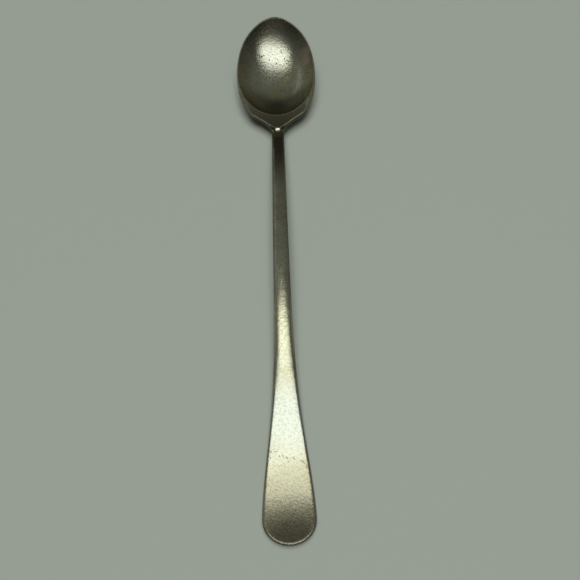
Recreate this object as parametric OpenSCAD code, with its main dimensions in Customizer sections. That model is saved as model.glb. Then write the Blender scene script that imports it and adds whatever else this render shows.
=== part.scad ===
// Iced tea spoon: an egg-shaped bowl on a long slim stem that flares into a flat, round-ended handle.
// The real spoon is one blank of metal, rolled, blanked and pressed. It is drawn here as the four
// stretches that it has, each a solid of its own: bowl, heel, stem and handle. They meet face to face.
// It lies as on a table: the handle's end to -Y, the bowl's tip to +Y, the bowl's hollow up.
// A place along the spoon is its distance from the handle's end, called s below.

/* [Overall] */
// Length from the handle's end to the bowl's tip
overall_length = 206.7; // [185:0.1:245]

/* [Bowl] */
// Width across the bowl's rim at its widest
bowl_width = 32; // [26:0.2:40]
// Length from the bowl's tip back to the neck
bowl_length = 53.7; // [49:0.1:63]
// Distance from the tip to the widest place
widest_from_tip = 25.2; // [23:0.1:30]
// Depth of the dish below its rim
bowl_depth = 7.2; // [5.5:0.1:9]
// Wall under the middle of the dish
bowl_wall = 1.3; // [1:0.05:2]
// Width of the narrow land along the rim
rim_width = 0.5; // [0.4:0.05:1.5]
// Thickness of the rim
rim_thickness = 1.1; // [0.8:0.05:1.6]
// Radius along the rim's edges
rim_radius = 0.25; // [0.2:0.05:0.5]
// How much higher the rim is at the tip than at the widest place
tip_rise = 4.9; // [2:0.1:7]

/* [Heel] */
// Length from the neck to the back edge of the dish
heel_length = 10.4; // [8:0.1:13]
// How far each shoulder spreads sideways over the heel's length
shoulder_spread = 15.4; // [10:0.1:20]
// Thickness of the shoulders beside the neck
shoulder_thickness = 1.9; // [1.4:0.1:2.6]
// How much lower the rim's line is at the neck than at the widest place
heel_dip = 3; // [1:0.1:4.5]
// Height of the small step from the stem up onto the heel
heel_step = 0.2; // [0:0.05:0.6]

/* [Stem] */
// Width at the neck, where the stem is narrowest
neck_width = 4.8; // [3.6:0.1:6.5]
// Thickness of the stem from the top of its arch to the neck
stem_thickness = 3; // [2.4:0.1:4]
// Width at the top of the arch
stem_width = 5.7; // [4.5:0.1:8]
// Height of the stem's upper face above the table at the top of the arch
arch_height = 11.2; // [8:0.1:15]
// Distance from the handle's end to the top of the arch
arch_from_end = 102; // [85:1:120]
// Depth of the rounding along the stem's edges
stem_radius = 0.5; // [0.3:0.05:0.8]

/* [Handle] */
// Width of the handle at its widest
handle_width = 18.1; // [14:0.1:24]
// Thickness of the handle near its end
handle_thickness = 1.7; // [1.3:0.05:2.4]
// Length of the rounded end
round_length = 8.2; // [6:0.1:12]
// Length over which the handle narrows
flare_length = 34; // [26:0.5:42]
// Distance from the end to where the handle rests on the table
rest_from_end = 16.5; // [12:0.5:20]
// How far the end turns up
end_lift = 2.2; // [0.5:0.1:3]
// Depth of the rounding along the handle's edges
handle_radius = 0.6; // [0.4:0.05:0.65]
// How far the handle's upper face is crowned across its widest place
handle_crown = 0.22; // [0:0.02:0.5]
// Depth worn off the two places that rest on the table
wear_depth = 0.05; // [0.02:0.01:0.1]

/* [Hidden] */

// Finish: old silver plate, a little paler on the handle where hands have rubbed it
plate_tone = [0.66, 0.65, 0.56];
handle_tone = [0.72, 0.71, 0.61];

// Places along the spoon
neck_s = overall_length - bowl_length;
widest_s = overall_length - widest_from_tip;
dish_back_s = neck_s + heel_length;
cut_share = 0.68; // where heel and bowl meet, as a share of the heel's length
heel_end_s = neck_s + cut_share * heel_length;
stem_end_share = 0.28; // where handle and stem meet, as a share of the spoon's length
stem_end_s = stem_end_share * overall_length;

// Outline seen from above
bowl_half = bowl_width / 2;
neck_half = neck_width / 2;
arch_half = stem_width / 2;
handle_half = handle_width / 2;
tip_pinch_share = 0.184; // how much slimmer than an ellipse the bowl's tip is
round_back = widest_s - neck_s; // where the bowl's round back would close
round_power_share = 2.35; // fullness of that back
shoulder_start_share = 0.4; // where the shoulders start to spread, as a share of the heel's length
shoulder_power_share = 1.4; // how suddenly they spread
shoulder_blend = 1.1; // softness of the corner between shoulder and bowl
flare_power_share = 1.75; // how suddenly the handle narrows

// Dish and rim
dish_half = bowl_half - rim_width;
dish_front = widest_from_tip - rim_width;
dish_rear = widest_s - dish_back_s;
dish_power_share = 2.4; // 2 is a plain paraboloid, more is flatter below with steeper walls
ridge_blend = 0.2; // softness of the ridge between dish and rim

// Underside of the bowl
back_share = 0.27; // how far the bowl's back reaches under the heel, as a share of the heel's length
back_rear = dish_rear + back_share * heel_length;
back_depth = bowl_depth + bowl_wall - rim_thickness;
back_blend = 1; // softness where the bowl's back meets the shoulders
tongue_blend = 0.6; // softness along the sides of the stem's tongue

// Rise of the rim's line from the heel to the tip, and its height at the widest place, at which the
// lowest place under the bowl touches the table
rim_slope = tip_rise / widest_from_tip;
function climb(s) = s > widest_s ? rim_slope * (s - widest_s)
    : (rim_slope * round_back - heel_dip) * pow((widest_s - s) / round_back, 2) - rim_slope * (widest_s - s);
rim_z = max([for (u = [0 : 0.01 : 0.6])
    rim_thickness + back_depth * (1 - pow(u, dish_power_share)) - climb(widest_s - u * back_rear)]);

// Rise and fall of the stem
step_start_share = 0.25; // where the small step starts, as a share of the heel's length
step_length = 2; // length of the small step
step_bow = 1.6; // how much later it starts at the edges than in the middle
neck_z = rim_z - heel_dip - heel_step;
neck_fall_share = 2.4; // slope of the stem at the neck, against its mean fall from the arch
neck_fall = neck_fall_share * (arch_height - neck_z) / (neck_s - arch_from_end);
tongue_length = 0.8; // length over which that slope dies away past the neck
crown_share = 0.27; // crown across the stem, as a share of its half width
crown_start_share = 0.16; // where the flat handle starts to take it, as a share of the spoon's length
crown_end_share = 0.33; // where it is whole
under_round_share = 0.2; // how much thinner the stem is at its sides than in its middle
wall_share = 0.45; // an edge's radius is at most this share of the wall there
edge_spread_share = 2.2; // how much wider than deep the rounding of the stem and handle is
edge_change_share = 0.4; // where it has sharpened into the rim's, as a share of the heel's length

// Fineness
corner_steps = 3;
face_steps = 4;
front_rays = 20;
back_rays = 17;
end_rays = 18;
heel_rows = 16;
stem_rows = 36;
handle_rows = 22;
dish_shares = [0.98, 0.94, 0.88, 0.8, 0.71, 0.61, 0.5, 0.38, 0.26, 0.12];
land_shares = [0.75, 0.5, 0.28, 0.1, 0];
probe = 0.02; // step for measuring a slope

// Small curves
function mix(a, b, t) = a + (b - a) * t;
function within(t) = max(0, min(1, t));
function ease(t) = within(t) * within(t) * (3 - 2 * within(t));
function turned(list) = [for (i = [len(list) - 1 : -1 : 0]) list[i]];
// The smaller of two values, with its corner softened over a width k
function soft_min(a, b, k) = (a + b - sqrt(pow(a - b, 2) + k * k)) / 2;
// A cubic from height z0 and slope m0 to height z1 and slope m1 over a length, at share t of it
function cubic(z0, m0, z1, m1, length, t) =
    z0 * (2 * pow(t, 3) - 3 * t * t + 1) + m0 * length * (pow(t, 3) - 2 * t * t + t)
    + z1 * (3 * t * t - 2 * pow(t, 3)) + m1 * length * (pow(t, 3) - t * t);
// How far a rounded edge of radius r lies below its face, at distance d from the outline
function round_off(d, r) = d >= r ? 0 : r - sqrt(max(0, r * r - pow(r - max(0, d), 2)));

// Half width of the spoon at s
function stem_half(s) = mix(neck_half, arch_half, max(0, neck_s - s) / (neck_s - arch_from_end));
function flare(s) = exp(-pow((s - round_length) / flare_length, flare_power_share));
function handle_outline(s) = s < round_length
    ? handle_half * sqrt(max(0, 1 - pow(1 - s / round_length, 2)))
    : stem_half(s) + (handle_half - stem_half(round_length)) * flare(s);
function pinch(v) = v > 0 ? 1 - tip_pinch_share * pow(v, 6) : 1;
function bowl_front(v) = bowl_half * sqrt(max(0, 1 - v * v)) * pinch(v);
function bowl_back(s) = bowl_half * (1 - pow((widest_s - s) / round_back, round_power_share));
function spread(s) = max(0, (s - neck_s) / heel_length - shoulder_start_share);
function shoulder(s) = neck_half + shoulder_spread * pow(spread(s), shoulder_power_share);
function half(s) = s > widest_s ? bowl_front((s - widest_s) / widest_from_tip)
    : spread(s) == 0 ? handle_outline(s)
    : soft_min(bowl_back(s), shoulder(s), shoulder_blend * within(spread(s)));
// Cosine of the angle that the outline makes with the spoon's length
function lean(s) = 1 / sqrt(1 + pow((half(s + probe) - half(s - probe)) / (2 * probe), 2));

// Thickness and heights along the middle, before wear
function thickness(s) =
    mix(handle_thickness, stem_thickness, ease((s - rest_from_end) / (arch_from_end - rest_from_end)));
arch_sole = arch_height - thickness(arch_from_end);
neck_sole = neck_z - stem_thickness;
function sole(s) = s < rest_from_end ? end_lift * pow(1 - s / rest_from_end, 2)
    : s < arch_from_end
    ? cubic(0, 0, arch_sole, 0, arch_from_end - rest_from_end,
        (s - rest_from_end) / (arch_from_end - rest_from_end))
    : s < neck_s
    ? cubic(arch_sole, 0, neck_sole, -neck_fall, neck_s - arch_from_end,
        (s - arch_from_end) / (neck_s - arch_from_end))
    : neck_sole - neck_fall * tongue_length * (1 - exp((neck_s - s) / tongue_length));
function rim_line(s) = rim_z + climb(s);

// Upper face at any place
function slim(s) = ease((s - round_length) / (stem_end_s - round_length));
function face_half(s) = s < round_length ? handle_half : s < neck_s ? half(s) : neck_half;
function crowned(s) =
    ease((s / overall_length - crown_start_share) / (crown_end_share - crown_start_share));
function crown(s) = mix(handle_crown, crown_share * face_half(s), crowned(s));
function stem_top(x, s) = sole(s) + thickness(s) - crown(s) * pow(x / face_half(s), 2);
function dish_reach(x, s) = s > widest_s
    ? norm([x / (dish_half * pinch((s - widest_s) / dish_front)), (s - widest_s) / dish_front])
    : norm([x / dish_half, (widest_s - s) / dish_rear]);
function dish(x, s) = rim_line(s) - bowl_depth * (1 - pow(dish_reach(x, s), dish_power_share));
function bowl_top(x, s) = soft_min(dish(x, s), rim_line(s), ridge_blend);
function step_start(x, s) = neck_s + step_start_share * heel_length + step_bow * pow(x / half(s), 2);
function step_up(x, s) = ease((s - step_start(x, s)) / step_length);
function top(x, s) = s < neck_s ? stem_top(x, s) : mix(stem_top(x, s), bowl_top(x, s), step_up(x, s));

// Underside at any place
function stem_under(x, s) =
    sole(s) + under_round_share * thickness(s) * slim(s) * pow(x / face_half(s), 2);
function back_reach(x, s) = s > widest_s
    ? norm([x / (bowl_half * pinch((s - widest_s) / widest_from_tip)), (s - widest_s) / widest_from_tip])
    : norm([x / bowl_half, (widest_s - s) / back_rear]);
function back(x, s) =
    rim_line(s) - rim_thickness - back_depth * (1 - pow(back_reach(x, s), dish_power_share));
function rearward(s) = within((widest_s - s) / dish_rear);
function shoulder_under(s) = rim_line(s) - mix(rim_thickness, shoulder_thickness, ease(rearward(s)));
function bowl_under(x, s) =
    rearward(s) == 0 ? back(x, s) : soft_min(back(x, s), shoulder_under(s), back_blend * rearward(s));
function tongued(x, s) = soft_min(bowl_under(x, s), stem_under(x, s), tongue_blend * rearward(s));
function under(x, s) = s < neck_s ? stem_under(x, s)
    : s > widest_s ? bowl_under(x, s)
    : mix(stem_under(x, s), tongued(x, s), ease((s - neck_s) / (heel_end_s - neck_s)));

// Radius along the edge at s
function side_wall(s) = top(half(s), s) - under(half(s), s);
function sharpened(s) = ease((s - neck_s) / (edge_change_share * heel_length));
function wanted_radius(s) = s < neck_s ? mix(handle_radius, stem_radius, slim(s))
    : mix(stem_radius, rim_radius, sharpened(s));
function radius(s) = min(wanted_radius(s), wall_share * side_wall(s));

// Each place on a face is [x, s, how far the rounded edge has cut it back there]
function corner_in(r, i) = r * (1 - cos(90 * i / corner_steps));
function corner_cut(r, i) = r * (1 - sin(90 * i / corner_steps));
function half_row(h, r, c) = concat(
    [for (i = [0 : corner_steps]) [h - corner_in(r, i) / c, corner_cut(r, i)]],
    [for (j = [face_steps - 1 : -1 : 1]) [(h - r / c) * j / face_steps, 0]]);
function side_row(s) = half_row(half(s), radius(s), lean(s) / mix(edge_spread_share, 1, sharpened(s)));
function row(s) = concat(
    [for (p = side_row(s)) [-p[0], s, p[1]]], [[0, s, 0]], [for (p = turned(side_row(s))) [p[0], s, p[1]]]);
side_count = corner_steps + face_steps;
row_count = 2 * side_count + 1;
function rows(from, to, count) = [for (i = [0 : count]) each row(mix(from, to, i / count))];

// Faces of a net of places, anticlockwise seen from above
function net(at, count) = [for (m = [0 : count - 1], c = [0 : row_count - 2])
    let (a = at(m, c), b = at(m, c + 1), d = at(m + 1, c + 1), e = at(m + 1, c))
    each [[a, b, d], [a, d, e]]];

// A solid between the upper face and the underside over a net, closed along its rim
module plate(places, faces, rim) {
    count = len(places);
    upper = [for (p = places) [p[0], p[1], top(p[0], p[1]) - p[2]]];
    lower = [for (p = places) [p[0], p[1], max(wear_depth, under(p[0], p[1]) + p[2])]];
    wall = [for (i = [0 : len(rim) - 1])
        let (a = rim[i], b = rim[(i + 1) % len(rim)])
        each [[a, b, b + count], [a, b + count, a + count]]];
    translate([0, -overall_length / 2, -wear_depth])
        polyhedron(
            points = concat(upper, lower),
            faces = concat(
                [for (f = faces) turned(f)], [for (f = faces) [for (i = f) i + count]], wall));
}

// A stretch of the spoon made of straight rows only
module stretch(from, to, count) {
    at = function (m, c) m * row_count + c;
    rim = concat(
        [for (c = [0 : row_count - 1]) at(0, c)], [for (m = [1 : count]) at(m, row_count - 1)],
        [for (c = [row_count - 2 : -1 : 0]) at(count, c)], [for (m = [count - 1 : -1 : 1]) at(m, 0)]);
    plate(rows(from, to, count), net(at, count), rim);
}

// The deep egg-shaped bowl, from its tip back to where the shoulders spread
module bowl() {
    back_angle = 166;
    wide_r = radius(widest_s);
    inner = function (a) let (v = cos(a), w = sin(a))
        [dish_half * w * pinch(v), widest_s + (v > 0 ? dish_front : dish_rear) * v];
    // Each ray holds the outline's place and the dish's edge beside it
    front = [for (i = [0 : front_rays]) let (a = 90 * i / front_rays)
        [[bowl_half * sin(a) * pinch(cos(a)), widest_s + widest_from_tip * cos(a)], inner(a)]];
    side = [for (i = [1 : back_rays]) let (t = i / back_rays, s = mix(widest_s, heel_end_s, t))
        [[half(s), s], inner(mix(90, back_angle, t))]];
    cut = side_row(heel_end_s);
    seam = [for (i = [1 : side_count]) let (x = i < side_count ? cut[i][0] : 0)
        [[x, heel_end_s], inner(180 - asin(sin(back_angle) * x / cut[0][0]))]];
    half_rays = concat(front, side, seam);
    last = len(half_rays) - 1;
    rays = concat(
        [for (i = [0 : last]) [for (p = half_rays[i]) [-p[0], p[1]]]],
        [for (i = [last - 1 : -1 : 1]) half_rays[i]]);
    function cut_back(x, s, d, r) =
        s > widest_s ? round_off(d, r) : round_off((half(s) - abs(x)) * lean(s), r);
    function ray_places(ray) =
        let (
            p = ray[0], q = ray[1], s = p[1],
            r = s > widest_s ? wide_r : radius(s),
            inward = (q - p) / norm(q - p),
            start = p + inward * r,
            edge = [for (i = [0 : corner_steps]) p + inward * corner_in(r, i)],
            land = [for (f = land_shares) q + (start - q) * f],
            hollow = [for (f = dish_shares) [q[0] * f, widest_s + (q[1] - widest_s) * f]]
        )
        [for (g = concat(edge, land, hollow)) [g[0], g[1], cut_back(g[0], g[1], norm(g - p), r)]];
    rings = corner_steps + 1 + len(land_shares) + len(dish_shares);
    count = len(rays);
    middle = count * rings;
    places = concat([for (ray = rays) each ray_places(ray)], [[0, widest_s, 0]]);
    faces = concat(
        [for (i = [0 : count - 1], j = [0 : rings - 2])
            let (n = (i + 1) % count, a = i * rings + j, b = n * rings + j)
            each [[a, b, b + 1], [a, b + 1, a + 1]]],
        [for (i = [0 : count - 1]) [i * rings + rings - 1, (i + 1) % count * rings + rings - 1, middle]]);
    color(plate_tone) plate(places, faces, [for (i = [0 : count - 1]) i * rings]);
}

// The flat heel behind the dish, where the shoulders draw in to the neck
module heel() {
    color(plate_tone) stretch(neck_s, heel_end_s, heel_rows);
}

// The slim arched stem
module stem() {
    color(plate_tone) stretch(stem_end_s, neck_s, stem_rows);
}

// The flat handle, flaring to a round end that turns up a little
module handle() {
    end_r = radius(round_length);
    side = half_row(handle_half, end_r, 1 / edge_spread_share);
    fan = [for (i = [0 : end_rays])
        let (
            a = 180 * i / end_rays,
            out = [-handle_half * cos(a), -round_length * sin(a)]
        )
        each [for (p = side)
            let (f = p[0] / handle_half)
            [out[0] * f, round_length + out[1] * f, p[1]]]];
    middle = len(fan);
    straight = [for (i = [1 : handle_rows]) each row(mix(round_length, stem_end_s, i / handle_rows))];
    at = function (m, c) m > 0 ? middle + 1 + (m - 1) * row_count + c
        : c < side_count ? c
        : c == side_count ? middle : end_rays * side_count + row_count - 1 - c;
    fan_faces = concat(
        [for (i = [0 : end_rays - 1], j = [0 : side_count - 2])
            let (a = i * side_count + j, b = a + side_count)
            each [[a, b, b + 1], [a, b + 1, a + 1]]],
        [for (i = [1 : end_rays]) [i * side_count - 1, (i + 1) * side_count - 1, middle]]);
    rim = concat(
        [for (i = [0 : end_rays]) i * side_count],
        [for (m = [1 : handle_rows]) at(m, row_count - 1)],
        [for (c = [row_count - 2 : -1 : 0]) at(handle_rows, c)],
        [for (m = [handle_rows - 1 : -1 : 1]) at(m, 0)]);
    color(handle_tone)
        plate(concat(fan, [[0, round_length, 0]], straight), concat(fan_faces, net(at, handle_rows)), rim);
}

bowl();
heel();
stem();
handle();
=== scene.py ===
# Iced tea spoon in old silver plate, lying bowl up on a plain pale floor.
# The real one is a single blank of nickel silver. It is drawn in its four stretches, end to end:
# handle, stem, heel and bowl. A place along it is its distance s from the handle's end, in metres.
import math
from functools import lru_cache

import bmesh
import bpy
from mathutils import Matrix, Vector
from mathutils.kdtree import KDTree


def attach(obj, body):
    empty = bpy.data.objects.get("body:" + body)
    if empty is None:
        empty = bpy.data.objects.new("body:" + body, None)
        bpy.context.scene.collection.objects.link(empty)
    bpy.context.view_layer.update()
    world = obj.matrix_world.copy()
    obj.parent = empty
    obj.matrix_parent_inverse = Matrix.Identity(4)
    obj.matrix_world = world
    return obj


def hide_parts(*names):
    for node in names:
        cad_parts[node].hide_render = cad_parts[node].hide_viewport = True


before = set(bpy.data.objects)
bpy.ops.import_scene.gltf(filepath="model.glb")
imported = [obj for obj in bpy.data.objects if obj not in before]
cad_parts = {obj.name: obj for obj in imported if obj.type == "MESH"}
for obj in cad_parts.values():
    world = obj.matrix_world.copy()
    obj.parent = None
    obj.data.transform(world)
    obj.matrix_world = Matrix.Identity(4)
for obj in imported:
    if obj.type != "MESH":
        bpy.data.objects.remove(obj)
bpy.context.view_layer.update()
scene = bpy.context.scene
scene.view_settings.view_transform = "Standard"


# View
# The camera looks down from just above the handle's end, as whoever is about to pick it up sees it.
MM = 0.001
spoon_length = 206.7 * MM
camera_place = Vector((5.6 * MM, -spoon_length / 2 - 3.8 * MM, 242 * MM))
camera_ahead = Vector((-0.0112, 0.3610, -0.9325))
camera_up = Vector((0.0377, 0.9320, 0.3604))
camera_data = bpy.data.cameras.new("camera")
camera_data.sensor_width = 36
camera_data.lens = 43.02
camera_data.clip_start = 0.01
camera = bpy.data.objects.new("camera", camera_data)
backward = -camera_ahead.normalized()
rightward = camera_up.cross(backward).normalized()
camera_turn = Matrix((rightward, backward.cross(rightward), backward)).transposed()
camera.matrix_world = Matrix.Translation(camera_place) @ camera_turn.to_4x4()
scene.collection.objects.link(camera)
scene.camera = camera


# Handle
# The flat flared end of the blank, 1.7 mm thick and rolled a little crowned, with a round end that
# turns up. Hands have rubbed it to a pale satin, and tables have worn a flat under it.
handle_half = 18.1 * MM / 2
handle_thickness = 1.7 * MM
handle_crown = 0.22 * MM
handle_radius = 0.6 * MM
round_length = 8.2 * MM
flare_length = 34 * MM
rest_place = 16.5 * MM
end_lift = 2.2 * MM
wear_depth = 0.05 * MM
stem_start = 0.28 * spoon_length
neck = spoon_length - 53.7 * MM
neck_half = 4.8 * MM / 2
stem_thickness = 3 * MM
arch = 102 * MM
arch_half = 5.7 * MM / 2
arch_height = 11.2 * MM
stem_radius = 0.5 * MM
crown_start = 0.16 * spoon_length
crown_length = 0.17 * spoon_length
slope_step = 0.02 * MM
weld_gap = 0.0001 * MM
FLARE_POWER = 1.75
STEM_CROWN = 0.27
STEM_BELLY = 0.2
# A rounded edge reaches EDGE_SPREAD times as far in as it cuts down, and takes EDGE_LIMIT of the wall
# at most. It has CORNER steps, and the face behind it has FACE steps to the middle.
EDGE_SPREAD = 2.2
EDGE_LIMIT = 0.45
CORNER = 8
FACE = 16
SIDE = CORNER + FACE


def mix(a, b, t):
    return a + (b - a) * t


def within(t):
    return max(0, min(1, t))


def ease(t):
    return within(t) ** 2 * (3 - 2 * within(t))


def flat_to_stem(s):
    return ease((s - round_length) / (stem_start - round_length))


def stem_half(s):
    return mix(neck_half, arch_half, max(0, neck - s) / (neck - arch))


def handle_outline(s):
    if s < round_length:
        return handle_half * math.sqrt(max(0, 1 - (1 - s / round_length) ** 2))
    flare = math.exp(-((s - round_length) / flare_length) ** FLARE_POWER)
    return stem_half(s) + (handle_half - stem_half(round_length)) * flare


def thickness(s):
    return mix(handle_thickness, stem_thickness, ease((s - rest_place) / (arch - rest_place)))


def rise(z0, m0, z1, m1, length, t):
    """Height on a smooth curve from height z0 and slope m0 to height z1 and slope m1."""
    start = z0 * (2 * t**3 - 3 * t**2 + 1) + m0 * length * (t**3 - 2 * t**2 + t)
    return start + z1 * (3 * t**2 - 2 * t**3) + m1 * length * (t**3 - t**2)


def sole(s):
    """Height of the underside along the middle."""
    if s < rest_place:
        return end_lift * (1 - s / rest_place) ** 2
    if s < arch:
        return rise(0, 0, arch_sole, 0, arch - rest_place, (s - rest_place) / (arch - rest_place))
    if s < neck:
        return rise(arch_sole, 0, neck_sole, -neck_fall, neck - arch, (s - arch) / (neck - arch))
    return neck_sole - neck_fall * tongue_length * (1 - math.exp((neck - s) / tongue_length))


arch_sole = arch_height - thickness(arch)


@lru_cache(None)
def middle_line(s):
    """Underside's height, thickness, crown and half width at s, worked out once for each row."""
    wide = handle_half if s < round_length else handle_outline(s) if s < neck else neck_half
    crown = mix(handle_crown, STEM_CROWN * wide, ease((s - crown_start) / crown_length))
    return sole(s), thickness(s), crown, wide


def stem_top(x, s):
    low, thick, crown, wide = middle_line(s)
    return low + thick - crown * (x / wide) ** 2


def stem_under(x, s):
    low, thick, _, wide = middle_line(s)
    return low + STEM_BELLY * thick * flat_to_stem(s) * (x / wide) ** 2


@lru_cache(None)
def blank_edge(s):
    """Half width, edge radius, and slant of the outline with the edge's spread, on handle and stem."""
    wide = handle_outline(s)
    slope = (handle_outline(s + slope_step) - handle_outline(s - slope_step)) / (2 * slope_step)
    wall = stem_top(wide, s) - stem_under(wide, s)
    radius = min(mix(handle_radius, stem_radius, flat_to_stem(s)), EDGE_LIMIT * wall)
    return wide, radius, 1 / math.hypot(1, slope) / EDGE_SPREAD


@lru_cache(None)
def across(wide, radius, slant):
    """From the edge to the middle: distance from the middle, and how far the rounded edge cuts back."""
    quarter = [math.radians(90 * i / CORNER) for i in range(CORNER + 1)]
    corner = [(wide - radius * (1 - math.cos(a)) / slant, radius * (1 - math.sin(a))) for a in quarter]
    return corner + [((wide - radius / slant) * i / FACE, 0) for i in range(FACE - 1, -1, -1)]


def blank_point(x, s, cut, face_up):
    z = stem_top(x, s) - cut - wear_depth if face_up else max(0, stem_under(x, s) + cut - wear_depth)
    return Vector((x, s - spoon_length / 2, z))


# A strip of metal is bent round the handle's outline, its two long edges meeting along the middle.
HANDLE_ROWS = 128
FAN = 96


def handle_point(step, column, face_up):
    fan = step - HANDLE_ROWS
    if 0 <= fan <= FAN:
        x, cut = across(handle_half, blank_edge(round_length)[1], 1 / EDGE_SPREAD)[column]
        turn = math.pi * fan / FAN
        s = round_length * (1 - math.sin(turn) * x / handle_half)
        return blank_point(-x * math.cos(turn), s, cut, face_up)
    row = step if fan < 0 else 2 * HANDLE_ROWS + FAN - step
    s = mix(stem_start, round_length, row / HANDLE_ROWS)
    x, cut = across(*blank_edge(s))[column]
    return blank_point(-x if fan < 0 else x, s, cut, face_up)


handle_metal = bmesh.new()
strip = (2 * HANDLE_ROWS + FAN, 2 * SIDE + 1)
bmesh.ops.create_grid(handle_metal, x_segments=strip[0], y_segments=strip[1], size=1)
for point in handle_metal.verts:
    step = round((point.co.x + 1) / 2 * strip[0])
    column = round((point.co.y + 1) / 2 * strip[1])
    face_up = column <= SIDE
    point.co = handle_point(step, SIDE - column if face_up else column - SIDE - 1, face_up)
bmesh.ops.remove_doubles(handle_metal, verts=handle_metal.verts, dist=weld_gap)
cut_edges = [edge for edge in handle_metal.edges if edge.is_boundary]
bmesh.ops.holes_fill(handle_metal, edges=cut_edges, sides=0)


def linear(hex_colour):
    """A colour written as sRGB hex, as the linear colour that a shader takes."""
    parts = [int(hex_colour[i:i + 2], 16) / 255 for i in (1, 3, 5)]
    return (*[c / 12.92 if c <= 0.04045 else ((c + 0.055) / 1.055) ** 2.4 for c in parts], 1)


# A noise's output 0 is its strength. A colour Mix node takes its share as input 0 and its two colours
# as inputs 6 and 7, and gives their blend as output 2.
def add(owner, kind, inputs=None, **settings):
    """Adds a node to a material or world, with its settings, and each input's value or link."""
    node = owner.node_tree.nodes.new(kind)
    for name, value in settings.items():
        setattr(node, name, value)
    for name, value in (inputs or {}).items():
        if isinstance(value, bpy.types.NodeSocket):
            owner.node_tree.links.new(value, node.inputs[name])
        else:
            node.inputs[name].default_value = value
    return node


# Old silver plate on nickel silver, struck and polished long ago: a warm pale metal. Small dents left
# by use break up the edges of what it mirrors, and hair scratches run mostly along it. The grain and
# the scratches are drawn coarser than the real ones, so that they show.
silver_plate = bpy.data.materials.new("old silver plate")
silver_plate.use_nodes = True
coordinates = add(silver_plate, "ShaderNodeTexCoord")
place = coordinates.outputs["Object"]
waves = add(silver_plate, "ShaderNodeTexNoise", {"Vector": place, "Scale": 1 / (6 * MM), "Detail": 1})
dents = add(silver_plate, "ShaderNodeTexNoise", {
    "Vector": place, "Scale": 1 / (1.6 * MM), "Detail": 1, "Roughness": 0.5})
grain = add(silver_plate, "ShaderNodeTexNoise", {
    "Vector": place, "Scale": 1 / (0.65 * MM), "Detail": 3, "Roughness": 0.7})
drawn_out = add(silver_plate, "ShaderNodeMapping", {
    "Vector": place, "Rotation": (0, 0, 0.07), "Scale": (1 / (0.25 * MM), 1 / (9 * MM), 1 / (2 * MM))})
scratches = add(silver_plate, "ShaderNodeTexNoise", {"Vector": drawn_out.outputs["Vector"], "Scale": 1})
scratch_share = add(silver_plate, "ShaderNodeMapRange", {
    "Value": scratches.outputs[0], "From Min": 0.62, "From Max": 0.7})
waved = add(silver_plate, "ShaderNodeBump", {"Height": waves.outputs[0], "Distance": 0.03 * MM})
dented = add(silver_plate, "ShaderNodeBump", {
    "Height": dents.outputs[0], "Distance": 0.02 * MM, "Normal": waved.outputs["Normal"]})
grained = add(silver_plate, "ShaderNodeBump", {
    "Height": grain.outputs[0], "Distance": 0.05 * MM, "Normal": dented.outputs["Normal"]})
scratched = add(silver_plate, "ShaderNodeBump", {
    "Height": scratch_share.outputs["Result"], "Distance": -0.003 * MM,
    "Normal": grained.outputs["Normal"]})

# A thin warm film lies over it in patches, flecked dark in its finest hollows.
film = add(silver_plate, "ShaderNodeTexNoise", {
    "Vector": place, "Scale": 1 / (10 * MM), "Detail": 6, "Roughness": 0.65})
film_share = add(silver_plate, "ShaderNodeMapRange", {
    "Value": film.outputs[0], "From Min": 0.4, "From Max": 0.64}, interpolation_type="SMOOTHSTEP")
filmed = add(silver_plate, "ShaderNodeMix", {
    0: film_share.outputs["Result"], 6: linear("#E9E8D0"), 7: linear("#DAD4B6")}, data_type="RGBA")
flecks = add(silver_plate, "ShaderNodeMapRange", {
    "Value": grain.outputs[0], "From Min": 0.38, "From Max": 0.6, "To Min": 0.72})
flecked = add(silver_plate, "ShaderNodeMix", {
    0: 1, 6: filmed.outputs[2], 7: flecks.outputs["Result"]}, data_type="RGBA", blend_type="MULTIPLY")

# The steep side walls are painted darker: painted shade, standing for the shadowed floor
# and dim room that they mirror.
lean = add(silver_plate, "ShaderNodeSeparateXYZ", {"Vector": coordinates.outputs["Normal"]})
levelness = add(silver_plate, "ShaderNodeMath", {0: lean.outputs["Z"]}, operation="ABSOLUTE")
wall_shade_share = add(silver_plate, "ShaderNodeMapRange", {
    "Value": levelness.outputs["Value"], "From Min": 0.85, "From Max": 0.6})

# Round the neck the upper face is coloured darker and made rougher. This darkening is left off
# the shoulders' edges, the dish's lip and a line along the stem's left edge, so that these show as light
# lines: painted highlights.
neck_y = neck - spoon_length / 2
lip_middle = (0, 73.75 * MM, 7 * MM)
lip_radius = 13.7 * MM
lip_spread = 0.4 * MM
line_x = -1.85 * MM
line_half_width = 0.28 * MM
line_from_neck = -12 * MM
line_half_length = 7 * MM
parts = add(silver_plate, "ShaderNodeSeparateXYZ", {"Vector": place})
from_neck = add(silver_plate, "ShaderNodeMath", {0: parts.outputs["Y"], 1: neck_y}, operation="SUBTRACT")
near_neck = add(silver_plate, "ShaderNodeMath", {0: from_neck.outputs["Value"]}, operation="ABSOLUTE")
neck_share = add(silver_plate, "ShaderNodeMapRange", {
    "Value": near_neck.outputs["Value"], "From Min": 28 * MM, "From Max": 6 * MM},
    interpolation_type="SMOOTHSTEP")
shoulder = add(silver_plate, "ShaderNodeMapRange", {
    "Value": from_neck.outputs["Value"], "From Min": 3.8 * MM, "From Max": 13.5 * MM,
    "To Min": 2.4 * MM, "To Max": 12.3 * MM}, interpolation_type="SMOOTHSTEP")
aside = add(silver_plate, "ShaderNodeMath", {0: parts.outputs["X"]}, operation="ABSOLUTE")
inset = add(silver_plate, "ShaderNodeMath", {
    0: shoulder.outputs["Result"], 1: aside.outputs["Value"]}, operation="SUBTRACT")
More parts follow.
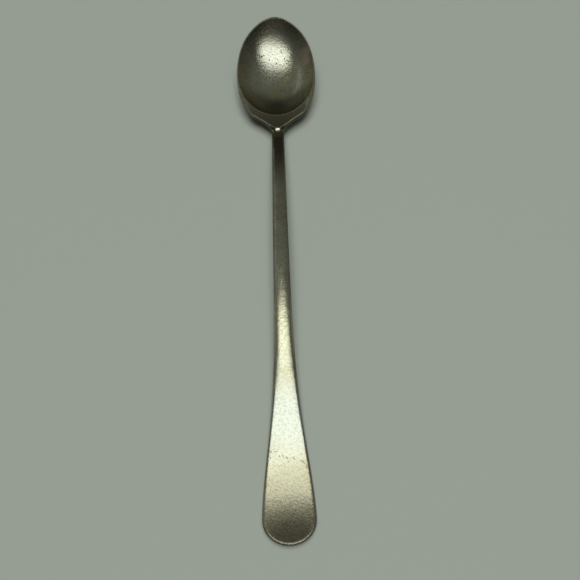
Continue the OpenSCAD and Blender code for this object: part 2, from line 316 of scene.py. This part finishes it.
on_edge = add(silver_plate, "ShaderNodeMapRange", {
    "Value": inset.outputs["Value"], "From Min": 0.9 * MM, "From Max": 0.3 * MM})
on_shoulder = add(silver_plate, "ShaderNodeMapRange", {
    "Value": from_neck.outputs["Value"], "From Min": 2 * MM, "From Max": 4 * MM})
# Painted highlights: the shoulders' edges, the dish's lip and a line on the stem are kept light.
edge_highlight_paint = add(silver_plate, "ShaderNodeMath", {
    0: on_edge.outputs["Result"], 1: on_shoulder.outputs["Result"]}, operation="MULTIPLY")
from_lip_middle = add(silver_plate, "ShaderNodeVectorMath", {0: place, 1: lip_middle}, operation="DISTANCE")
lip_highlight_paint = add(silver_plate, "ShaderNodeMath", {
    0: from_lip_middle.outputs["Value"], 1: lip_radius, 2: lip_spread}, operation="COMPARE")
across_line = add(silver_plate, "ShaderNodeMath", {
    0: parts.outputs["X"], 1: line_x, 2: line_half_width}, operation="COMPARE")
along_line = add(silver_plate, "ShaderNodeMath", {
    0: from_neck.outputs["Value"], 1: line_from_neck, 2: line_half_length}, operation="COMPARE")
line_highlight_paint = add(silver_plate, "ShaderNodeMath", {
    0: across_line.outputs["Value"], 1: along_line.outputs["Value"]}, operation="MULTIPLY")
bowl_highlight_paint = add(silver_plate, "ShaderNodeMath", {
    0: edge_highlight_paint.outputs["Value"], 1: lip_highlight_paint.outputs["Value"]}, operation="MAXIMUM")
painted_highlights = add(silver_plate, "ShaderNodeMath", {
    0: bowl_highlight_paint.outputs["Value"], 1: line_highlight_paint.outputs["Value"]}, operation="MAXIMUM")
# The neck's darkening, less the painted highlight lines.
neck_darkening = add(silver_plate, "ShaderNodeMath", {
    0: neck_share.outputs["Result"], 1: painted_highlights.outputs["Value"]}, operation="SUBTRACT", use_clamp=True)
# The upper face round the neck is coloured darker, except on the painted highlight lines.
neck_darkened = add(silver_plate, "ShaderNodeMix", {
    0: neck_darkening.outputs["Value"], 6: flecked.outputs[2], 7: linear("#77725E")}, data_type="RGBA")
# Painted shade: the side walls take a darker colour.
wall_shaded = add(silver_plate, "ShaderNodeMix", {
    0: wall_shade_share.outputs["Result"], 6: neck_darkened.outputs[2], 7: linear("#585242")}, data_type="RGBA")

# Polished metal mirrors the lamp a little blurred, and the dark places blur it more.
dull_roughness = 0.2
satin = add(silver_plate, "ShaderNodeMapRange", {
    "Value": grain.outputs[0], "From Min": 0.3, "From Max": 0.7, "To Min": 0.12, "To Max": 0.2})
dull_share = add(silver_plate, "ShaderNodeMath", {
    0: wall_shade_share.outputs["Result"], 1: neck_darkening.outputs["Value"]}, operation="MAXIMUM")
roughness = add(silver_plate, "ShaderNodeMath", {
    0: dull_share.outputs["Value"], 1: dull_roughness, 2: satin.outputs["Result"]},
    operation="MULTIPLY_ADD")
plate_shader = silver_plate.node_tree.nodes["Principled BSDF"]
plate_shader.inputs["Metallic"].default_value = 1
silver_plate.node_tree.links.new(wall_shaded.outputs[2], plate_shader.inputs["Base Color"])
silver_plate.node_tree.links.new(roughness.outputs["Value"], plate_shader.inputs["Roughness"])
silver_plate.node_tree.links.new(scratched.outputs["Normal"], plate_shader.inputs["Normal"])


FRAY = 0.8
SPOT_CORE = 0.4


def mark(material, spots, colour, depth=0, dullness=0):
    """Colours the upper face at spots, each a place and a radius in mm.

    It also sinks them by depth, in mm, and adds dullness to their roughness. A spot is full out to
    SPOT_CORE of its radius. Its rim is frayed, and its colour speckled, by a noise FRAY mm across."""
    shader = material.node_tree.nodes["Principled BSDF"]
    before = {name: shader.inputs[name].links[0].from_socket
              for name in ("Base Color", "Normal", "Roughness")}
    here = add(material, "ShaderNodeTexCoord")
    fraying = add(material, "ShaderNodeTexNoise", {
        "Vector": here.outputs["Object"], "Scale": 1 / (FRAY * MM), "Detail": 2})
    shifted = add(material, "ShaderNodeVectorMath", {
        0: fraying.outputs["Color"], 1: (FRAY * MM, FRAY * MM, 0), 2: here.outputs["Object"]},
        operation="MULTIPLY_ADD")
    flat = add(material, "ShaderNodeVectorMath", {
        0: shifted.outputs["Vector"], 1: (1, 1, 0)}, operation="MULTIPLY")
    covered = 0
    for x, y, radius in spots:
        centre = ((x + FRAY / 2) * MM, (y + FRAY / 2) * MM, 0)
        away = add(material, "ShaderNodeVectorMath", {
            0: flat.outputs["Vector"], 1: centre}, operation="DISTANCE")
        share = add(material, "ShaderNodeMapRange", {
            "Value": away.outputs["Value"], "From Min": radius * MM, "From Max": SPOT_CORE * radius * MM})
        larger = add(material, "ShaderNodeMath", {
            0: share.outputs["Result"], 1: covered}, operation="MAXIMUM")
        covered = larger.outputs["Value"]
    facing = add(material, "ShaderNodeSeparateXYZ", {"Vector": here.outputs["Normal"]})
    above = add(material, "ShaderNodeMapRange", {
        "Value": facing.outputs["Z"], "From Min": 0.55, "From Max": 0.75})
    cover = add(material, "ShaderNodeMath", {0: covered, 1: above.outputs["Result"]}, operation="MULTIPLY")
    speckle = add(material, "ShaderNodeMapRange", {
        "Value": fraying.outputs[0], "From Min": 0.38, "From Max": 0.55, "To Min": 0.84})
    speckled = add(material, "ShaderNodeMix", {
        0: 1, 6: linear(colour), 7: speckle.outputs["Result"]}, data_type="RGBA", blend_type="MULTIPLY")
    coloured = add(material, "ShaderNodeMix", {
        0: cover.outputs["Value"], 6: before["Base Color"], 7: speckled.outputs[2]}, data_type="RGBA")
    uneven = add(material, "ShaderNodeMath", {
        0: cover.outputs["Value"], 1: fraying.outputs[0]}, operation="MULTIPLY")
    sunk = add(material, "ShaderNodeBump", {
        "Height": uneven.outputs["Value"], "Distance": -depth * MM, "Normal": before["Normal"]})
    duller = add(material, "ShaderNodeMath", {
        0: cover.outputs["Value"], 1: dullness, 2: before["Roughness"]}, operation="MULTIPLY_ADD")
    material.node_tree.links.new(coloured.outputs[2], shader.inputs["Base Color"])
    material.node_tree.links.new(sunk.outputs["Normal"], shader.inputs["Normal"])
    material.node_tree.links.new(duller.outputs["Value"], shader.inputs["Roughness"])


def finish_piece(metal, name, material):
    """Makes the metal an object that stands for the CAD node of that name."""
    bmesh.ops.recalc_face_normals(metal, faces=metal.faces)
    mesh = bpy.data.meshes.new(name)
    metal.to_mesh(mesh)
    metal.free()
    mesh.materials.append(material)
    piece = bpy.data.objects.new(name, mesh)
    scene.collection.objects.link(piece)
    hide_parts(name)
    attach(piece, "root")
    return piece


# The handle's plate is the same, worn clean where it is held and, where it mirrors the lamp, painted
# paler still as a painted highlight; pitted in a line across its flat; and rougher, stained and darker
# near its end.
handle_plate = silver_plate.copy()
handle_plate.name = "old silver plate, handled"
# Worn clean where it is held, and paler on the lamp's reflection: partly a painted highlight.
mark(handle_plate, [(0.5, -62, 16)], "#E1E4D8")
mark(handle_plate, [(0, -97, 23)], "#D0CAB0", depth=0.022, dullness=0.09)
mark(handle_plate, [(1, -102, 13)], "#A6A089")
mark(handle_plate, [
    (-5.6, -73.1, 0.35), (-4.1, -73.2, 0.3), (-3.6, -73, 0.25), (-2.7, -74.6, 0.35), (-1.6, -74.6, 0.3),
    (-1.4, -75.2, 0.25), (0, -75.4, 0.35), (-0.4, -75, 0.25), (0.3, -76.5, 0.3), (2.3, -75.8, 0.3),
    (1.9, -75.2, 0.25), (4.6, -76.3, 0.35), (5.2, -76.8, 0.3), (5.6, -77.2, 0.25), (6.3, -78.4, 0.35),
    (-5.9, -75.2, 0.3), (-4, -85.6, 0.25)], "#7C765F", depth=0.015)
mark(handle_plate, [(-1.6, -96.8, 0.9)], "#A39C80")
handle = finish_piece(handle_metal, "handle", handle_plate)


# Stem
# The slim arched middle of the blank, rolled thicker and rounder, springing 11 mm off the table
# and falling again to the neck. It is the same metal as the handle, painted paler on its rising half
# where it mirrors the lamp: a painted highlight.
def roll_length(stations, edge, point_at):
    """A rod with a ring of points at each station, rolled to the blank's section there."""
    metal = bmesh.new()
    around = 4 * SIDE + 2
    bays = len(stations) - 1
    bmesh.ops.create_cone(
        metal, cap_ends=True, segments=around, radius1=1, radius2=1, depth=bays)
    lengthwise = [e for e in metal.edges if abs(e.verts[0].co.z - e.verts[1].co.z) > 0.5]
    bmesh.ops.subdivide_edges(metal, edges=lengthwise, cuts=bays - 1, use_grid_fill=True)
    for point in metal.verts:
        s = stations[round(point.co.z + bays / 2)]
        step = round(math.atan2(point.co.y, point.co.x) / math.tau * around) % around
        face_up = step < around // 2
        step %= around // 2
        x, cut = across(*edge(s))[min(step, 2 * SIDE - step)]
        if (step > SIDE) == face_up:
            x = -x
        point.co = point_at(x, s, cut, face_up)
    return metal


neck_height = 5.9851 * MM
neck_sole = neck_height - stem_thickness
NECK_STEEPNESS = 2.4
neck_fall = NECK_STEEPNESS * (arch_height - neck_height) / (neck - arch)
tongue_length = 0.8 * MM
STEM_ROWS = 200
stem_metal = roll_length(
    [mix(stem_start, neck, i / STEM_ROWS) for i in range(STEM_ROWS + 1)], blank_edge, blank_point)
stem_plate = silver_plate.copy()
stem_plate.name = "old silver plate, rubbed"
# Painted highlight: paler where the stem's rising half mirrors the lamp.
mark(stem_plate, [(0, -31, 14)], "#EAE8CC")
stem = finish_piece(stem_metal, "stem", stem_plate)


# Bowl
# Pressed from the widest part of the blank: an egg-shaped dish 7.2 mm deep, a narrow flat land along
# its rim, and shoulders that sweep back to the neck. Its wall thins from 1.3 mm below to 1.1 at the rim.
bowl_half = 32 * MM / 2
widest_from_tip = 25.2 * MM
widest = spoon_length - widest_from_tip
bowl_depth = 7.2 * MM
bowl_wall = 1.3 * MM
rim_width = 0.5 * MM
rim_thickness = 1.1 * MM
rim_radius = 0.2 * MM
rim_height = 9.1851 * MM
tip_rise = 4.9 * MM
heel_length = 10.4 * MM
heel_end = neck + 0.68 * heel_length
heel_dip = 3 * MM
dish_half = bowl_half - rim_width
dish_front = widest_from_tip - rim_width
dish_rear = widest - neck - heel_length
back_rear = dish_rear + 0.27 * heel_length
back_depth = bowl_depth + bowl_wall - rim_thickness
rim_slope = tip_rise / widest_from_tip
shoulder_thickness = 1.9 * MM
shoulder_width = 15.4 * MM
tip_lip = 0.02 * MM
back_lip = 0.15 * MM
shoulder_softness = 1.1 * MM
back_softness = 1 * MM
tongue_softness = 0.6 * MM
DISH_POWER = 2.4
BACK_POWER = 2.35
SHOULDER_POWER = 1.4
SHOULDER_START = 0.4
TIP_SLIMMING = 0.184


def soft_min(a, b, softness):
    """The lower of two heights or widths, with the corner between them rounded."""
    return (a + b - math.hypot(a - b, softness)) / 2


def slimmed(v):
    """How much slimmer than an ellipse the tip is, at share v of the way to it."""
    return 1 - TIP_SLIMMING * v**6 if v > 0 else 1


def bowl_outline(s):
    if s > widest:
        v = (s - widest) / widest_from_tip
        return bowl_half * math.sqrt(max(0, 1 - v * v)) * slimmed(v)
    spread = max(0, (s - neck) / heel_length - SHOULDER_START)
    if spread == 0:
        return handle_outline(s)
    round_back = bowl_half * (1 - ((widest - s) / (widest - neck)) ** BACK_POWER)
    shoulder = neck_half + shoulder_width * spread**SHOULDER_POWER
    return soft_min(round_back, shoulder, shoulder_softness * within(spread))


def climb(s):
    """How much higher the rim's line is at s than at the widest place."""
    if s > widest:
        return rim_slope * (s - widest)
    rearward = (widest - s) / (widest - neck)
    return (rim_slope * (widest - neck) - heel_dip) * rearward**2 - rim_slope * (widest - s)


@lru_cache(None)
def rim_line(s):
    return rim_height + climb(s)


def reach(x, s, wide, front, rear):
    """0 in the middle of the bowl and 1 at the oval with these half axes."""
    if s > widest:
        return math.hypot(x / (wide * slimmed((s - widest) / front)), (s - widest) / front)
    return math.hypot(x / wide, (widest - s) / rear)


def bowl_top(x, s):
    dish = rim_line(s) - bowl_depth * (1 - reach(x, s, dish_half, dish_front, dish_rear) ** DISH_POWER)
    return soft_min(dish, rim_line(s), mix(tip_lip, back_lip, within((widest - s) / dish_rear)))


def bowl_under(x, s):
    round_back = reach(x, s, bowl_half, widest_from_tip, back_rear) ** DISH_POWER
    back = rim_line(s) - rim_thickness - back_depth * (1 - round_back)
    rearward = within((widest - s) / dish_rear)
    if rearward == 0:
        return back
    shoulder = rim_line(s) - mix(rim_thickness, shoulder_thickness, ease(rearward))
    plain = soft_min(back, shoulder, back_softness * rearward)
    return soft_min(plain, stem_under(x, s), tongue_softness * rearward)


@lru_cache(None)
def bowl_edge(s):
    """Half width, edge radius and cosine of the outline's slant at s, on the bowl."""
    wide = bowl_outline(s)
    slope = (bowl_outline(s + slope_step) - bowl_outline(s - slope_step)) / (2 * slope_step)
    wall = bowl_top(wide, s) - bowl_under(wide, s)
    return wide, min(rim_radius, EDGE_LIMIT * wall), 1 / math.hypot(1, slope)


def bowl_point(x, s, cut, face_up):
    z = bowl_top(x, s) - cut - wear_depth if face_up else max(0, bowl_under(x, s) + cut - wear_depth)
    return Vector((x, s - spoon_length / 2, z))


# Rays run from the outline in to the middle of the dish. The last ones start on the cut to the heel.
# LAND has shares of the way from the dish's lip out to the rounded edge, and HOLLOW has shares of
# the way from the middle of the dish out to its lip.
FRONT_RAYS = 90
BACK_RAYS = 70
back_angle = math.radians(166)
LAND = [0.85, 0.7, 0.55, 0.4, 0.25, 0.12, 0.03, 0]
HOLLOW_ROWS = 36
HOLLOW = [0.9985] + [math.sin(math.pi / 2 * (1 - i / HOLLOW_ROWS)) for i in range(2, HOLLOW_ROWS)]


def dish_lip(angle):
    """The point of the dish's lip at this angle round its middle, from the tip."""
    v = math.cos(angle)
    half_length = dish_front if v > 0 else dish_rear
    return Vector((dish_half * math.sin(angle) * slimmed(v), widest + half_length * v))


cut_across = across(*bowl_edge(heel_end))
half_rays = []
for i in range(FRONT_RAYS + 1):
    angle = math.pi / 2 * i / FRONT_RAYS
    wide = bowl_half * math.sin(angle) * slimmed(math.cos(angle))
    half_rays.append((Vector((wide, widest + widest_from_tip * math.cos(angle))), dish_lip(angle)))
for i in range(1, BACK_RAYS + 1):
    s = mix(widest, heel_end, i / BACK_RAYS)
    lip = dish_lip(mix(math.pi / 2, back_angle, i / BACK_RAYS))
    half_rays.append((Vector((bowl_edge(s)[0], s)), lip))
for x, _ in cut_across[1:]:
    angle = math.pi - math.asin(math.sin(back_angle) * x / cut_across[0][0])
    half_rays.append((Vector((x, heel_end)), dish_lip(angle)))
last_ray = len(half_rays) - 1


@lru_cache(None)
def ray_places(ray):
    """Places along a ray from the outline to the middle, each with its edge's cut."""
    start, lip = half_rays[min(ray, 2 * last_ray - ray)]
    s = start.y
    radius = bowl_edge(min(s, widest))[1]
    inward = (lip - start).normalized()
    quarter = [math.radians(90 * i / CORNER) for i in range(CORNER + 1)]
    corner = [start + inward * radius * (1 - math.cos(turn)) for turn in quarter]
    land = [lip.lerp(corner[-1], share) for share in LAND]
    middle = Vector((0, widest))
    hollow = [middle.lerp(lip, share) for share in HOLLOW]
    places = []
    for place in corner + land + hollow:
        if s > widest:
            depth, edge_radius = (place - start).length, radius
        else:
            wide, edge_radius, slant = bowl_edge(s)
            depth = (bowl_outline(place.y) - abs(place.x)) * slant
        over = max(0, edge_radius - max(0, depth))
        cut = edge_radius - math.sqrt(max(0, edge_radius**2 - over**2))
        places.append((place.x if ray <= last_ray else -place.x, place.y, cut))
    return places


bowl_metal = bmesh.new()
rings = CORNER + 1 + len(LAND) + len(HOLLOW)
bmesh.ops.create_uvsphere(bowl_metal, u_segments=2 * last_ray, v_segments=2 * rings + 1, radius=1)
for point in bowl_metal.verts:
    ring = round(math.acos(within((point.co.z + 1) / 2) * 2 - 1) / math.pi * (2 * rings + 1))
    if ring in (0, 2 * rings + 1):
        point.co = bowl_point(0, widest, 0, ring == 0)
        continue
    ray = round(math.atan2(point.co.y, point.co.x) / math.tau * 2 * last_ray) % (2 * last_ray)
    face_up = ring <= rings
    x, s, cut = ray_places(ray)[rings - ring if face_up else ring - rings - 1]
    point.co = bowl_point(x, s, cut, face_up)

# The bowl's plate is the same, stained brown and red, and pitted by salt in the bottom of its dish.
# That bottom is painted paler where it mirrors the lamp, a painted highlight, and the dish's back is
# painted darker and duller, painted shade that hides the light its own far wall throws into it.
bowl_plate = silver_plate.copy()
bowl_plate.name = "old silver plate, pitted"
mark(bowl_plate, [(0.4, 72.5, 2.6), (0.2, 75, 2)], "#DCCF9C")
mark(bowl_plate, [(12.3, 88, 3), (12.4, 85, 2.6)], "#CFC0AC")
# Painted highlight: paler where the dish mirrors the lamp.
mark(bowl_plate, [(-1, 90, 8.5)], "#E0E1D3")
# Painted shade: darker and duller at the dish's back, over the light it mirrors from its far wall.
mark(bowl_plate, [(0, 66.2, 5.8)], "#8A8470", dullness=0.12)
mark(bowl_plate, [
    (-6.6, 89.3, 0.4), (-5.8, 89.7, 0.45), (-5, 90.1, 0.35), (2.5, 91.3, 0.35), (2.2, 92, 0.25),
    (-1.9, 91.5, 0.3), (-1.3, 90.8, 0.25), (-2.6, 88.7, 0.35), (0.7, 88.7, 0.3), (0.2, 87.3, 0.35),
    (3.7, 88.8, 0.35), (4.7, 88.1, 0.35), (5.7, 87.3, 0.35), (4.5, 86.8, 0.35), (5.5, 86, 0.35),
    (3.9, 87.7, 0.3), (5.9, 88.9, 0.25), (5.1, 87.4, 0.3), (2, 75.3, 0.35)], "#59543F", depth=0.02)
bowl = finish_piece(bowl_metal, "bowl", bowl_plate)


# Heel
# The flat land behind the dish, where the shoulders draw in to the neck. A small step in its upper
# face shows where the press stopped, and underneath the stem runs on as a tongue.
step_start = neck + 0.25 * heel_length
step_length = 2 * MM
step_bow = 1.6 * MM
edge_change = 0.4 * heel_length


def heel_point(x, s, cut, face_up):
    if face_up:
        start = step_start + step_bow * (x / bowl_edge(s)[0]) ** 2
        pressed = ease((s - start) / step_length)
        z = mix(stem_top(x, s), bowl_top(x, s), pressed) - cut - wear_depth
    else:
        pressed = ease((s - neck) / (heel_end - neck))
        z = mix(stem_under(x, s), bowl_under(x, s), pressed) + cut - wear_depth
    return Vector((x, s - spoon_length / 2, z))


@lru_cache(None)
def heel_edge(s):
    wide, _, slant = bowl_edge(s)
    wall = heel_point(wide, s, 0, True).z - heel_point(wide, s, 0, False).z
    sharper = ease((s - neck) / edge_change)
    radius = min(mix(stem_radius, rim_radius, sharper), EDGE_LIMIT * wall)
    return wide, radius, slant / mix(EDGE_SPREAD, 1, sharper)


HEEL_ROWS = 70
heel_metal = roll_length(
    [mix(neck, heel_end, i / HEEL_ROWS) for i in range(HEEL_ROWS + 1)], heel_edge, heel_point)

# The heel's plate is the same, with a pale, smoother spot in the middle of its step: a painted
# highlight that brightens and shapes the glint the step mirrors.
heel_plate = silver_plate.copy()
heel_plate.name = "old silver plate, stepped"
# Painted highlight: the glint on the step.
mark(heel_plate, [(-0.6, 53.6, 0.6), (-0.1, 53.6, 0.6), (0.4, 53.6, 0.6)], "#F2F1E4", dullness=-0.2)
heel = finish_piece(heel_metal, "heel", heel_plate)


# Skin
# The real blank has no seams. The stretches meet at plain cuts, so their surfaces take the slant of
# one whole skin there, and no line shows between them.
cut_gap = 0.001 * MM
seam_gap = 0.0005 * MM


def on_cut(face):
    """Whether the face closes a stretch where it meets the next one."""
    return any(all(abs(point.co.y + spoon_length / 2 - s) < cut_gap for point in face.verts)
               for s in (stem_start, neck, heel_end))


pieces = (handle, stem, heel, bowl)
skin = bmesh.new()
for piece in pieces:
    skin.from_mesh(piece.data)
bmesh.ops.delete(skin, geom=[face for face in skin.faces if on_cut(face)], context="FACES_ONLY")
bmesh.ops.remove_doubles(skin, verts=skin.verts, dist=seam_gap)
skin.normal_update()
slants = KDTree(len(skin.verts))
for index, point in enumerate(skin.verts):
    slants.insert(point.co, index)
slants.balance()
skin.verts.ensure_lookup_table()
for piece in pieces:
    shell = bmesh.new()
    shell.from_mesh(piece.data)
    normals = []
    for face in shell.faces:
        cut_face = on_cut(face)
        for point in face.verts:
            slant = face.normal if cut_face else skin.verts[slants.find(point.co)[1]].normal
            normals.append(slant.copy())
    shell.free()
    piece.data.polygons.foreach_set("use_smooth", [True] * len(piece.data.polygons))
    piece.data.normals_split_custom_set(normals)


# Floor and light
# A plain pale floor, and a wide overhead lamp 2 m up, a little towards the camera. The metal mirrors
# that lamp, a low window beyond it on the left, and a dim room. A soft fill, which the metal doesn't
# mirror, lights the floor and its shadows.
floor_half = 8
floor_mesh = bpy.data.meshes.new("floor")
boards = bmesh.new()
bmesh.ops.create_grid(boards, x_segments=1, y_segments=1, size=floor_half)
boards.to_mesh(floor_mesh)
boards.free()
floor_paint = bpy.data.materials.new("matt floor")
floor_paint.use_nodes = True
floor_shader = floor_paint.node_tree.nodes["Principled BSDF"]
floor_shader.inputs["Base Color"].default_value = linear("#969B94")
floor_shader.inputs["Roughness"].default_value = 0.6
floor_shader.inputs["Specular IOR Level"].default_value = 0.2
floor_mesh.materials.append(floor_paint)
floor = bpy.data.objects.new("floor", floor_mesh)
scene.collection.objects.link(floor)

lamp_height = 2
lamp_right = 0.12
lamp_tilt = math.radians(7.7)
lamp_turn = math.radians(-6)
lamp_radiance = 1.27
lamp_data = bpy.data.lights.new("lamp", "AREA")
lamp_data.shape = "ELLIPSE"
lamp_data.size = 3
lamp_data.size_y = 0.9
lamp_data.energy = lamp_radiance * math.pi * math.pi * lamp_data.size * lamp_data.size_y / 4
lamp_data.color = (0.97, 1, 0.93)
lamp = bpy.data.objects.new("lamp", lamp_data)
lamp.location = (lamp_right, -lamp_height * math.tan(lamp_tilt), lamp_height)
lamp.rotation_euler = (-lamp_tilt, 0, lamp_turn)
scene.collection.objects.link(lamp)

white_under_fill = 0.8
fill_data = bpy.data.lights.new("fill", "SUN")
fill_data.angle = math.radians(40)
fill_data.energy = white_under_fill * math.pi
fill_data.color = (0.97, 1, 0.96)
fill = bpy.data.objects.new("fill", fill_data)
fill.rotation_euler = (-lamp_tilt, 0, 0)
fill.visible_glossy = False
scene.collection.objects.link(fill)

window_way = Vector((-0.695, 0.469, 0.545))
window_distance = 2.2
window_radiance = 0.18
window_data = bpy.data.lights.new("window", "AREA")
window_data.shape = "RECTANGLE"
window_data.size = 1.2
window_data.size_y = 0.22
window_data.energy = window_radiance * math.pi * window_data.size * window_data.size_y
window = bpy.data.objects.new("window", window_data)
window.location = window_distance * window_way
window.rotation_euler = window_way.to_track_quat("Z", "Y").to_euler()
scene.collection.objects.link(window)

# The room's brightness changes from behind the camera, at 0, over the ceiling to beyond the bowl's
# tip, at 1. It falls off to the right, and the two side walls are a little brighter.
room = bpy.data.worlds.new("room")
room.use_nodes = True
scene.world = room
direction = add(room, "ShaderNodeTexCoord").outputs["Generated"]
way = add(room, "ShaderNodeSeparateXYZ", {"Vector": direction})
ahead = add(room, "ShaderNodeMapRange", {"Value": way.outputs["Y"], "From Min": -1, "From Max": 1})
ceiling = add(room, "ShaderNodeValToRGB", {"Fac": ahead.outputs["Result"]})
ceiling_ends = [0.3, 0.03]
ceiling_between = [(0.08, 0.2), (0.14, 0.04), (0.3, 0.03), (0.5, 0.1), (0.56, 0.15), (0.62, 0.165),
                   (0.7, 0.142), (0.8, 0.13), (0.93, 0.05)]
for stop, strength in zip(ceiling.color_ramp.elements, ceiling_ends):
    stop.color = (strength, strength, strength, 1)
for share, strength in ceiling_between:
    stop = ceiling.color_ramp.elements.new(share)
    stop.color = (strength, strength, strength, 1)
leftward = add(room, "ShaderNodeMapRange", {
    "Value": way.outputs["X"], "From Min": -1, "From Max": 1, "To Min": 0.95, "To Max": 0.65})
sideways = add(room, "ShaderNodeMath", {0: way.outputs["X"]}, operation="ABSOLUTE")
side_walls = add(room, "ShaderNodeMapRange", {
    "Value": sideways.outputs["Value"], "From Min": 0.94, "From Max": 1, "To Min": 0, "To Max": 0.16})
walls = add(room, "ShaderNodeMath", {
    0: ceiling.outputs["Color"], 1: leftward.outputs["Result"], 2: side_walls.outputs["Result"]},
    operation="MULTIPLY_ADD")
wall_light = room.node_tree.nodes["Background"]
room.node_tree.links.new(walls.outputs["Value"], wall_light.inputs["Strength"])
wall_light.inputs["Color"].default_value = (0.95, 1, 0.9, 1)
